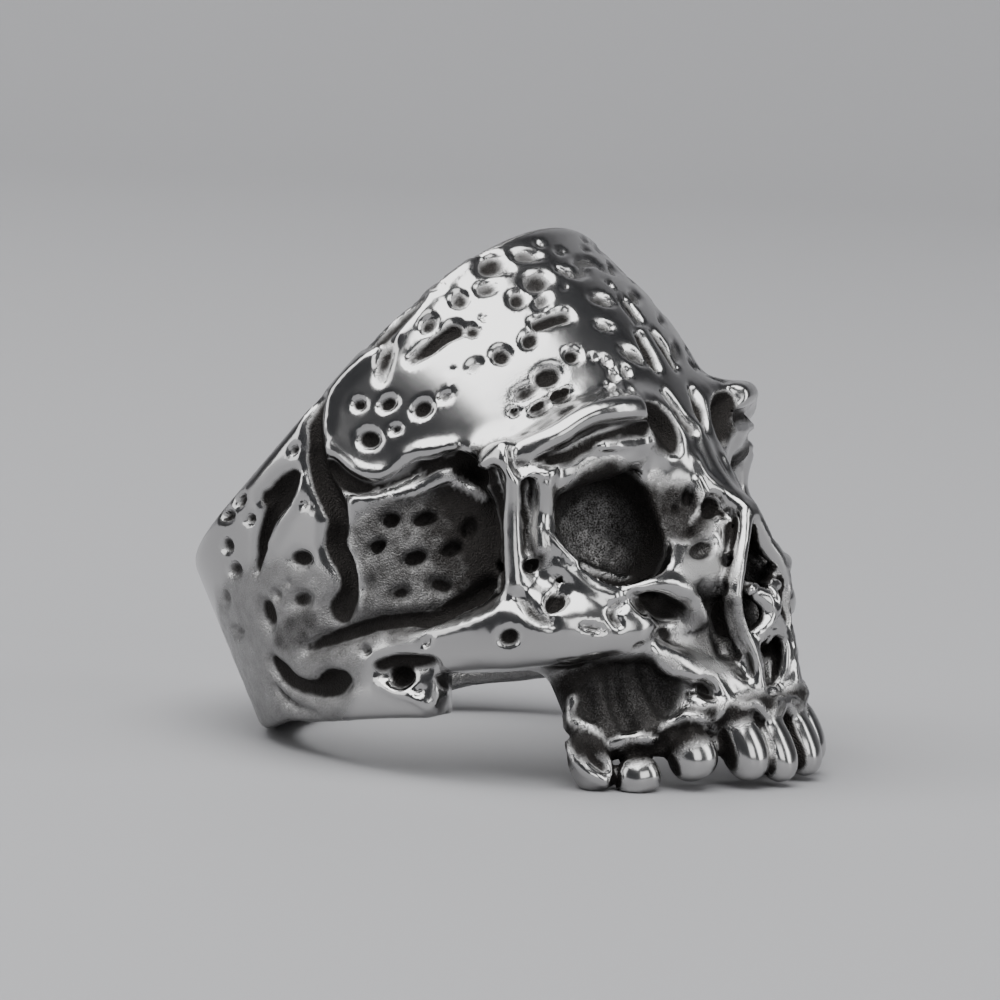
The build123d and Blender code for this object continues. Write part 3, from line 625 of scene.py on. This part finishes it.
def plain_form(points, hollows=True):
    """Distance to the whole casting without pits and cracks, one side mirrored to the other, and
    with or without the eye sockets, the nose and the other hollows."""
    points = folded(points)
    u, v, w = points.T

    def add(form, blend, *tables):
        for table in tables:
            form = join(form, bar(points, table), blend)
        return form

    def sink(form, blend, *rows):
        for row in rows if hollows else ():
            form = carve(form, turned_lump(points, row), blend)
        return form

    form = head(u, v, w, points, hollows)
    form = sink(form, fillet, PATCH)
    form = join(form, upper_jaw(u, v, w), wide_fillet)
    form = sink(form, fillet, UNDER_CHEEK, BRIDGE_SIDE)
    form = add(form, 2 * fillet, BROW)
    form = add(form, tight_fillet, STRUT_WEB, STRUT, STRUT_FRONT)
    form = add(form, wide_fillet, ORBIT_RIM, CHEEK)
    form = add(form, tight_fillet, ARCH, LOBE)
    form = add(form, wide_fillet, NOSE_BODY)
    form = add(form, fillet, NOSE_BRIDGE, GUM)
    form = sink(form, fillet, FOSSA)
    form = add(form, fillet, MAXILLA, JAW_RIDGE)
    form = sink(form, tight_fillet, NOSTRIL, NOSTRIL_TOP, POCKET)
    form = add(form, tight_fillet, NOSE_SIDE, NOSE_STEP, SEPTUM)
    form = sink(form, tight_fillet, SOCKET)
    form = add(form, tight_fillet, BROW_UNDER)
    for row in TEETH:
        form = join(form, tooth(points, row), tight_fillet / 2)
    form = carve(form, np.hypot(u, v) - bore_radius, tight_fillet)
    return np.maximum(form, -above_ground(v, w))


# The upright ring's place in the frame: its foot is the point of the hole's axis at w = 0
foot_z = above_ground(0, 0)
foot_y = bore["pos_m"][1] / MM + (foot_z - bore["pos_m"][2] / MM) * lean_sin / lean_cos
upright_axes = np.array([[1, 0, 0], [0, lean_cos, -lean_sin], [0, lean_sin, lean_cos]])
foot = np.array([0, foot_y, foot_z])

# The camera's axes and place, in millimetres in the frame
sin_a, cos_a = np.sin(view_azimuth), np.cos(view_azimuth)
sin_e, cos_e = np.sin(view_elevation), np.cos(view_elevation)
sin_r, cos_r = np.sin(view_roll), np.cos(view_roll)
view_back = np.array([sin_a * cos_e, -cos_a * cos_e, sin_e])
level_right = np.array([cos_a, sin_a, 0])
level_up = np.cross(view_back, level_right)
view_right = level_right * cos_r + level_up * sin_r
view_up = level_up * cos_r - level_right * sin_r
axis_on_ground = np.array([0, foot_y - foot_z * lean_sin / lean_cos, 0])
view_aim = axis_on_ground + np.array([0, aim_back, 0]) + aim_right * view_right + aim_up * view_up
camera_place = view_aim + view_back * view_distance


def onto_form(pixels):
    """The points of the upright plain form that the photograph's camera sees at these pixels:
    each sight line is walked by the distance to the form until it arrives."""
    pixels = np.asarray(pixels, float) - frame_pixels / 2
    lines = (view_right * pixels[:, :1] - view_up * pixels[:, 1:]) / focal_pixels - view_back
    lines /= np.linalg.norm(lines, axis=1)[:, None]
    lines = lines @ upright_axes.T
    start = upright_axes @ (camera_place - foot)
    gone = np.full(len(lines), view_distance - room_before)
    for _ in range(sight_steps):
        distance = plain_form(start + lines * gone[:, None])
        gone = np.minimum(gone + sight_share * distance, view_distance + room_behind)
    return folded(start + lines * gone[:, None])


def pit_shapes(tables):
    """For each pit its middle on the form, the two rows that turn a step from there into shares
    of its half length and half width, and its depth."""
    rows = np.array([row for table in tables for row in table])
    turn = np.radians(rows[:, PIT_TURN])
    middle = rows[:, :2]
    ends = np.stack([np.cos(turn), -np.sin(turn)], axis=1) * rows[:, [PIT_LONG]] / 4
    sides = np.stack([np.sin(turn), np.cos(turn)], axis=1) * rows[:, [PIT_WIDE]] / 4
    around = [middle, middle + ends, middle - ends, middle + sides, middle - sides]
    found = onto_form(np.concatenate(around))
    centre, far_end, near_end, far_side, near_side = found.reshape(5, -1, 3)
    longest = rows[:, PIT_LONG] / pixels_per_mm
    half_length, half_width = far_end - near_end, far_side - near_side
    for half in (half_length, half_width):
        size = np.linalg.norm(half, axis=1)
        half *= (np.minimum(size, longest) / np.maximum(size, hair))[:, None]
    shares = np.linalg.pinv(np.stack([half_length, half_width], axis=2))
    return centre, shares, rows[:, PIT_DEEP]


def stroke_shapes(table):
    """The strokes of a table on the form: each stroke's spots, and their widths and depths.
    A run that jumps from one form to another behind it is left out."""
    eased_rows = [eased(rows, 3) for rows in table.values()]
    found = onto_form(np.concatenate(eased_rows)[:, :2])
    strokes = []
    for rows in eased_rows:
        spots, found = found[:len(rows)], found[len(rows):]
        joined = np.linalg.norm(spots[1:] - spots[:-1], axis=1) < longest_run
        sizes = rows[:, STROKE_WIDE:]
        strokes.append([part[joined] for part in (spots[:-1], spots[1:], sizes[:-1], sizes[1:])])
    return [stroke for stroke in strokes if len(stroke[0])]


def stroke_depth(points, height, strokes, power):
    """Depth of strokes at the points: the greatest of the runs, each falling off with the
    distance sideways from its line by a bell curve, flat in the middle where the power is
    high. Height is the points' distance from the plain form, which the lines lie on."""
    depth = np.zeros(len(points))
    for start, end, size, end_size in strokes:
        low = np.minimum(start, end).min(axis=0) - stroke_reach
        high = np.maximum(start, end).max(axis=0) + stroke_reach
        near = np.nonzero(((points > low) & (points < high)).all(axis=1))[0]
        run = end - start
        step = points[near][:, None] - start
        t = ((step * run).sum(axis=2) / (run**2).sum(axis=1)).clip(0, 1)
        gap = ((step - t[..., None] * run) ** 2).sum(axis=2) - height[near, None] ** 2
        gap = np.sqrt(gap.clip(0))
        wide, deep = np.moveaxis(size + (end_size - size) * t[..., None], 2, 0)
        cut = deep * np.exp(-((gap / (0.5 * wide)) ** power))
        depth[near] = np.maximum(depth[near], cut.max(axis=1))
    return depth


def pit_depth(points, pits):
    """Depth of the pits at the points: a bell curve of the distance from a pit's middle as a
    share of its half size, less a lower one round its edge for the raised rim."""
    dip = np.zeros(len(points))
    rim = np.zeros(len(points))
    for centre, shares, deep in zip(*pits):
        near = np.abs(points - centre).max(axis=1) < pit_reach
        q = np.linalg.norm((points[near] - centre) @ shares.T, axis=1)
        dip[near] = np.maximum(dip[near], deep * np.exp(-(q**pit_power)))
        lip = lip_height * deep * np.exp(-(((q - lip_place) / lip_width) ** 2))
        rim[near] = np.maximum(rim[near], lip)
    return dip - rim * (dip < deepest_with_lip)


pits = pit_shapes([CROWN_PITS, SIDE_PITS, FACE_PITS])
grooves = stroke_shapes(GROOVES)
crests = stroke_shapes(CRESTS)


def marked(points, table):
    """How far the points belong to a table's places, from 0 to a place's own share: full inside
    each place and fading over its edge."""
    points = folded(points)
    share = np.zeros(len(points))
    for row in table:
        inside = rise(-turned_lump(points, row[:BLACK]), -edge_outside, edge_inside)
        share = np.maximum(share, row[BLACK] * inside)
    return share


def cast_grain(points):
    """A cast skin's unevenness, from -1 to 1: three crossed waves at two sizes, each bent by
    a wave of the next axis."""
    waves = np.zeros(len(points))
    for size, share in GRAIN_WAVES:
        bent = points + grain_bend * np.sin(points[:, [1, 2, 0]] * bend_rate / size)
        waves += share * np.sin(bent / size * grain_rates).sum(axis=1) / 3
    return waves


def fine_work(points, height):
    """How far pits and cracks take the surface below the plain form, and crests above it. The places
    coloured black, partly the casting's own black and partly painted shade, are uneven too."""
    points = folded(points)
    cut = np.maximum(stroke_depth(points, height, grooves, groove_power), pit_depth(points, pits))
    raised = stroke_depth(points, height, crests, crest_power)
    return cut - raised + grain_depth * marked(points, BLACK_AND_SHADE_PLACES) * cast_grain(points)


def casting(points):
    """Distance to the casting with its fine work, near its surface. The fine work fades out
    towards the finger hole's wall, so that no pit comes through it."""
    form = plain_form(points)
    close = np.abs(form) < reach
    radius = np.hypot(points[:, 0], points[:, 1])
    wall = ((radius[close] - bore_radius - wall_start) / (wall_full - wall_start)).clip(0, 1)
    form[close] += fine_work(points[close], form[close]) * wall
    return np.maximum(form, bore_radius - radius)


def spaced(start, stop):
    """Places from start to stop or just past it, a cell apart."""
    return start + cell * np.arange(int(np.ceil((stop - start) / cell)) + 1)


def separate(distance):
    """Fills lattice corners until no two filled ones meet only across a cell's face, so that
    the mesh closes everywhere."""
    changed = True
    while changed:
        changed = False
        for axis in range(3):
            layers = np.moveaxis(distance, axis, 0)
            here, right = layers[:, :-1, :-1], layers[:, 1:, :-1]
            over, across = layers[:, :-1, 1:], layers[:, 1:, 1:]
            for one, two, gap, other in ((here, across, right, over), (right, over, here, across)):
                clash = (one < 0) & (two < 0) & (gap >= 0) & (other >= 0)
                gap[clash] = -filled * cell
                changed = changed or clash.any()


def surface_net(places, distance):
    """Corners and four-sided faces of the zero surface: a corner in each lattice cell that it
    crosses, the mean of its crossings of the cell's edges, and a face round each edge."""
    grid = np.stack(np.meshgrid(*places, indexing="ij"), axis=-1)
    cells = tuple(n - 1 for n in distance.shape)
    total = np.zeros(cells + (3,))
    count = np.zeros(cells)
    for axis in range(3):
        near, place = np.moveaxis(distance, axis, 0), np.moveaxis(grid, axis, 0)
        crossed = (near[:-1] < 0) != (near[1:] < 0)
        part = np.where(crossed, near[:-1] / np.where(crossed, near[:-1] - near[1:], 1), 0)
        meets = place[:-1] + part[..., None] * (place[1:] - place[:-1])
        for right in (slice(None, -1), slice(1, None)):
            for over in (slice(None, -1), slice(1, None)):
                used = crossed[:, right, over]
                np.moveaxis(count, axis, 0)[used] += 1
                np.moveaxis(total, axis, 0)[used] += meets[:, right, over][used]
    held = count > 0
    number = np.cumsum(held).reshape(cells) - 1
    faces = []
    for axis in range(3):
        near, name = np.moveaxis(distance, axis, 0), np.moveaxis(number, axis, 0)
        inside = near[:-1, 1:-1, 1:-1] < 0
        a, b, c = np.nonzero(inside != (near[1:, 1:-1, 1:-1] < 0))
        ring = [name[a, b, c], name[a, b + 1, c], name[a, b + 1, c + 1], name[a, b, c + 1]]
        ring = np.stack(ring, axis=1)
        backward = inside[a, b, c] == (axis == 1)
        ring[backward] = ring[backward][:, ::-1]
        faces.append(ring)
    return total[held] / count[held][:, None], np.concatenate(faces)


def settle(points, field, nudge=0.02):
    """The points moved down the field's slope onto its surface, by less than half a cell in all."""
    start = points
    value = field(points)
    slope = np.stack([field(points + step) - value for step in nudge * np.eye(3)], axis=1) / nudge
    downhill = slope / (slope**2).sum(axis=1)[:, None].clip(least_slope)
    for _ in range(2):
        points = start + (points - value[:, None] * downhill - start).clip(-cell / 2, cell / 2)
        value = field(points)
    points[start[:, 0] == 0, 0] = 0
    return points


def even_out(points, faces):
    """The points drawn towards their neighbours."""
    total = np.zeros_like(points)
    count = np.zeros(len(points))
    for k in (1, 3):
        np.add.at(total, faces, points[np.roll(faces, k, axis=1)])
        np.add.at(count, faces, 1)
    on_middle = points[:, 0] == 0
    points = (points + total / count[:, None]) / 2
    points[on_middle, 0] = 0
    return points


def lattice_distance(places):
    """The casting's distance at the lattice's corners: exact near the surface, and elsewhere as
    a coarser lattice has it."""
    few = [np.append(place[::coarse_step], place[-1] + coarse_step * cell) for place in places]
    coarse = plain_form(np.stack(np.meshgrid(*few, indexing="ij"), axis=-1).reshape(-1, 3))
    distance = coarse.reshape([len(place) for place in few])
    for axis, place in enumerate(places):
        at = np.arange(len(place)) / coarse_step
        low = at.astype(int)
        part = (at - low).reshape([-1 if k == axis else 1 for k in range(3)])
        distance = (1 - part) * distance.take(low, axis) + part * distance.take(low + 1, axis)
    near = np.abs(distance) < sure_reach
    grid = np.stack(np.meshgrid(*places, indexing="ij"), axis=-1)
    distance[near] = casting(grid[near])
    return distance


def half_skin():
    """Corners and faces of the casting's half at u above zero. The skin is meshed from its distance field
    because it branches, folds under itself and has a hole through the middle, which no single
    grid of two parameters follows. Its lattice straddles the middle plane, so the two halves
    share their corners there."""
    side = bore_radius + SIDE_REACH * face_depth
    front = -(bore_radius + FRONT_REACH * face_depth)
    back = band_radius + 2 * cell
    places = spaced(-cell / 2, side), spaced(front, back), spaced(-2 * cell, crown_height + 3 * cell)
    distance = lattice_distance(places)
    separate(distance)
    points, faces = surface_net(places, distance)
    points[np.abs(points[:, 0]) < hair, 0] = 0
    points = settle(even_out(points, faces), casting)
    return points, faces


def outward_of(points, faces):
    """The points' outward directions: the mean of their faces' own, by area."""
    across = points[faces[:, 2]] - points[faces[:, 0]]
    over = points[faces[:, 3]] - points[faces[:, 1]]
    facing = np.cross(across, over)
    total = np.zeros_like(points)
    for k in range(4):
        np.add.at(total, faces[:, k], facing)
    total[points[:, 0] == 0, 0] = 0
    return total / np.linalg.norm(total, axis=1)[:, None].clip(speck)


def whole_skin(points, faces):
    """The half and its mirror image, sharing the corners on the middle plane."""
    middle = points[:, 0] == 0
    name = np.where(middle, np.arange(len(points)), len(points) + np.cumsum(~middle) - 1)
    mirrored = points[~middle] * (-1, 1, 1)
    return np.concatenate([points, mirrored]), np.concatenate([faces, name[faces][:, ::-1]])


def shelter(points, outward):
    """How sheltered each point is, from 0 in the open to 1 deep in a hollow: the clearance in
    front of it, at a few distances, against the distance itself."""
    openness = np.zeros(len(points))
    for ahead, weight in CLEARANCES:
        clearance = casting(points + ahead * outward) / ahead
        openness += weight * clearance.clip(0, 1)
    return 1 - openness


def put_in(name, data):
    """An object of the scene."""
    thing = bpy.data.objects.new(name, data)
    bpy.context.scene.collection.objects.link(thing)
    return thing


def stand(thing, axes, place):
    """Puts an object at a place, with its axes to the right, up and back."""
    rows = [[*row, number] for row, number in zip(np.stack(axes, axis=1), place)]
    thing.matrix_world = Matrix(rows + [[0, 0, 0, 1]])


def make_ring():
    """The casting's mesh object with the shades that its material reads."""
    points, faces = half_skin()
    height = plain_form(points)
    raised = stroke_depth(folded(points), height, crests, crest_power)
    shades = {
        # The shelter is read by the material to paint shade in corners
        "shelter": shelter(points, outward_of(points, faces)),
        "cut": fine_work(points, height),
        "depth": -plain_form(points, hollows=False),
        "soot": marked(points, BLACK_AND_SHADE_PLACES),
        "rubbed": marked(points, RUBBED_AND_LIT),
        "worn": ((raised - worn_from) / (worn_full - worn_from)).clip(0, 1),
    }
    middle = points[:, 0] == 0
    corners, skin = whole_skin(points, faces)
    placed = (corners @ upright_axes + foot) * MM
    mesh = bpy.data.meshes.new("skull_ring_casting")
    mesh.from_pydata(placed.tolist(), [], skin.tolist())
    for name, half in shades.items():
        layer = mesh.attributes.new(name, "FLOAT", "POINT")
        layer.data.foreach_set("value", np.concatenate([half, half[~middle]]).astype(np.float32))
    mesh.shade_smooth()
    mesh.validate()
    return put_in("skull_ring_casting", mesh)


class Value:
    """A node's output that can be used in sums."""

    def __init__(self, nodes, socket):
        self.nodes, self.socket = nodes, socket

    def __add__(self, other):
        return self.nodes.math("ADD", self, other)

    def __radd__(self, other):
        return self.nodes.math("ADD", other, self)

    def __sub__(self, other):
        return self.nodes.math("SUBTRACT", self, other)

    def __rsub__(self, other):
        return self.nodes.math("SUBTRACT", other, self)

    def __mul__(self, other):
        return self.nodes.math("MULTIPLY", self, other)

    def __rmul__(self, other):
        return self.nodes.math("MULTIPLY", other, self)

    def between(self, start, stop):
        """Zero at start, one at stop, limited and eased between."""
        inputs = {"Value": self, "From Min": start, "From Max": stop}
        return self.nodes.make("ShaderNodeMapRange", {"interpolation_type": "SMOOTHSTEP"}, inputs)

    def most(self, other):
        """The greater of the two."""
        return self.nodes.math("MAXIMUM", self, other)


class Nodes:
    """Makes one material's nodes."""

    def __init__(self, name):
        self.material = bpy.data.materials.new(name)
        self.material.use_nodes = True
        self.tree = self.material.node_tree
        self.shader = self.tree.nodes["Principled BSDF"]

    def plug(self, socket, value):
        """Links a value's output to a socket, or sets the socket to a plain number or colour."""
        if isinstance(value, Value):
            self.tree.links.new(value.socket, socket)
        else:
            socket.default_value = value

    def make(self, kind, settings, inputs, output=0):
        """A node of a kind, with its settings and its sockets' values or links."""
        node = self.tree.nodes.new(kind)
        for name, setting in settings.items():
            setattr(node, name, setting)
        for name, value in inputs.items():
            self.plug(node.inputs[name], value)
        return Value(self, node.outputs[output])

    def math(self, operation, a, b):
        return self.make("ShaderNodeMath", {"operation": operation}, {0: a, 1: b})

    def mix(self, share, a, b):
        """Colour a, going over to colour b where share is one."""
        return self.make("ShaderNodeMix", {"data_type": "RGBA"}, {0: share, 6: a, 7: b}, 2)

    def noise(self, where, scale, detail, roughness=0.5):
        """An uneven value round a half, with so many patches to the metre."""
        inputs = {"Vector": where, "Scale": scale, "Detail": detail, "Roughness": roughness}
        return self.make("ShaderNodeTexNoise", {}, inputs)

    def attribute(self, name):
        return self.make("ShaderNodeAttribute", {"attribute_name": name}, {}, "Fac")

    def finish(self, **sockets):
        """The material, once its shader's sockets are set."""
        for name, value in sockets.items():
            self.plug(self.shader.inputs[name.replace("_", " ")], value)
        return self.material


def cast_steel():
    """Polished steel, black and grainy in cracks, pits, hollows and listed places: partly the casting's
    own black and partly painted shade. The black starts at the first and is full at the second number
    of each pair: millimetres of cut and depth, and shares of the others."""
    n = Nodes("polished_and_blackened_steel")
    where = n.make("ShaderNodeTexCoord", {}, {}, "Object")
    hidden, cut, depth = n.attribute("shelter"), n.attribute("cut"), n.attribute("depth")
    black_and_shade_share, rubbed, worn = n.attribute("soot"), n.attribute("rubbed"), n.attribute("worn")
    ragged = n.noise(where, 1400.0, 3.0)
    grain = n.noise(where, 12000.0, 2.0)
    # The black: the casting's own in cracks, pits and hollows, and painted shade in sheltered corners,
    # deep hollows and the listed dark places
    in_cracks = (cut + 0.16 * (ragged - 0.5)).between(0.11, 0.36)
    # Listed places coloured black, partly the casting's own black and partly painted shade
    in_black_and_shade_places = (black_and_shade_share * (1.15 + 0.8 * (ragged - 0.5) + 0.7 * (grain - 0.5))).between(0, 1)
    in_hollows = (depth + 0.5 * (ragged - 0.5)).between(0.45, 1.1)
    # Painted shade: the more sheltered a corner, the blacker it is coloured
    painted_corner_shade = (hidden + 0.2 * (ragged - 0.5)).between(0.24, 0.48)
    black = in_cracks.most(in_hollows).most(painted_corner_shade).most(in_black_and_shade_places)
    # The black thinned where the grain shows; inside the eye socket this is a painted pool of light
    thin = rubbed * (grain + 0.4 * (ragged - 0.5)).between(0.30, 0.80)
    black = black * (1 - 0.8 * thin) * (1 - 0.9 * worn)
    dull = black.most(rubbed * 0.8)
    colour = n.mix(black, STEEL, BLACK_AND_SHADE_COLOUR)
    rough = 0.18 + 0.34 * dull + 0.06 * (ragged - 0.5)
    bump = {"Strength": 0.8, "Distance": 0.14 * MM, "Height": grain * dull}
    bump = n.make("ShaderNodeBump", {}, bump)
    return n.finish(Base_Color=colour, Metallic=1.0, Roughness=rough, Normal=bump)


def plain_paint(name, colour, roughness):
    """A plain matt surface."""
    return Nodes(name).finish(Base_Color=colour, Roughness=roughness)


def make_floor():
    """The floor that runs up into a backdrop: a profile, level and then a quarter turn and
    upright, carried sideways."""
    turn = np.linspace(0, np.pi / 2, 17)
    ahead, behind, radius, width, height = 0.9, 0.45, 0.25, 2.4, 1.2
    depth = np.concatenate([[-ahead], behind + radius * np.sin(turn), [behind + radius]])
    level = np.concatenate([[0], radius * (1 - np.cos(turn)), [height]])
    facing = view_back[:2] / np.hypot(view_back[0], view_back[1])
    sideways = np.array([-facing[1], facing[0]])
    line = -facing[None] * depth[:, None]
    points = [[*(a + sideways * b), c] for a, c in zip(line, level) for b in (-width, width)]
    faces = [(2 * i, 2 * i + 1, 2 * i + 3, 2 * i + 2) for i in range(len(depth) - 1)]
    mesh = bpy.data.meshes.new("floor")
    mesh.from_pydata(points, [], faces)
    mesh.shade_smooth()
    return put_in("floor", mesh)


def seen(right, near, up):
    """A place so far to the camera's right of the ring, nearer to the camera and up, in metres."""
    return right * view_right + near * view_back + (0, 0, up)


def make_light(name, place, size, power):
    """A soft flat light of a width and height in metres and a power in watts, facing the ring."""
    light = bpy.data.lights.new(name, "AREA")
    light.shape = "RECTANGLE"
    light.size, light.size_y = size
    light.energy = power
    back = np.array(place) - ring_middle
    back = back / np.linalg.norm(back)
    right = np.cross([0, 0, 1], back)
    right = right / np.linalg.norm(right)
    stand(put_in(name, light), [right, np.cross(back, right), back], place)


ring = make_ring()
ring.data.materials.append(cast_steel())
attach(ring, "root")
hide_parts("skull_ring")

floor = make_floor()
floor.data.materials.append(plain_paint("pale_floor", PALE_GREY, 0.6))

# Soft light: a large panel over the ring, one on either side and a small one in front of the face
make_light("overhead", (-0.18, 0.02, 0.75), (1.2, 0.8), 17.0)
make_light("left_side", seen(-0.75, 0.15, 0.32), (0.5, 0.6), 2.4)
make_light("right_side", seen(0.75, 0.1, 0.25), (0.25, 0.6), 2.2)
make_light("front_side", seen(0.45, 0.6, 0.16), (0.4, 0.34), 1.3)

world = bpy.context.scene.world or bpy.data.worlds.new("room")
bpy.context.scene.world = world
world.use_nodes = True
room = world.node_tree.nodes["Background"].inputs
room["Color"].default_value = ROOM_GREY
room["Strength"].default_value = 1.0

camera = put_in("camera", bpy.data.cameras.new("camera"))
camera.data.sensor_width = sensor_width
camera.data.lens = sensor_width * focal_pixels / frame_pixels
camera.data.clip_start = 0.01
stand(camera, [view_right, view_up, view_back], camera_place * MM)
bpy.context.scene.camera = camera
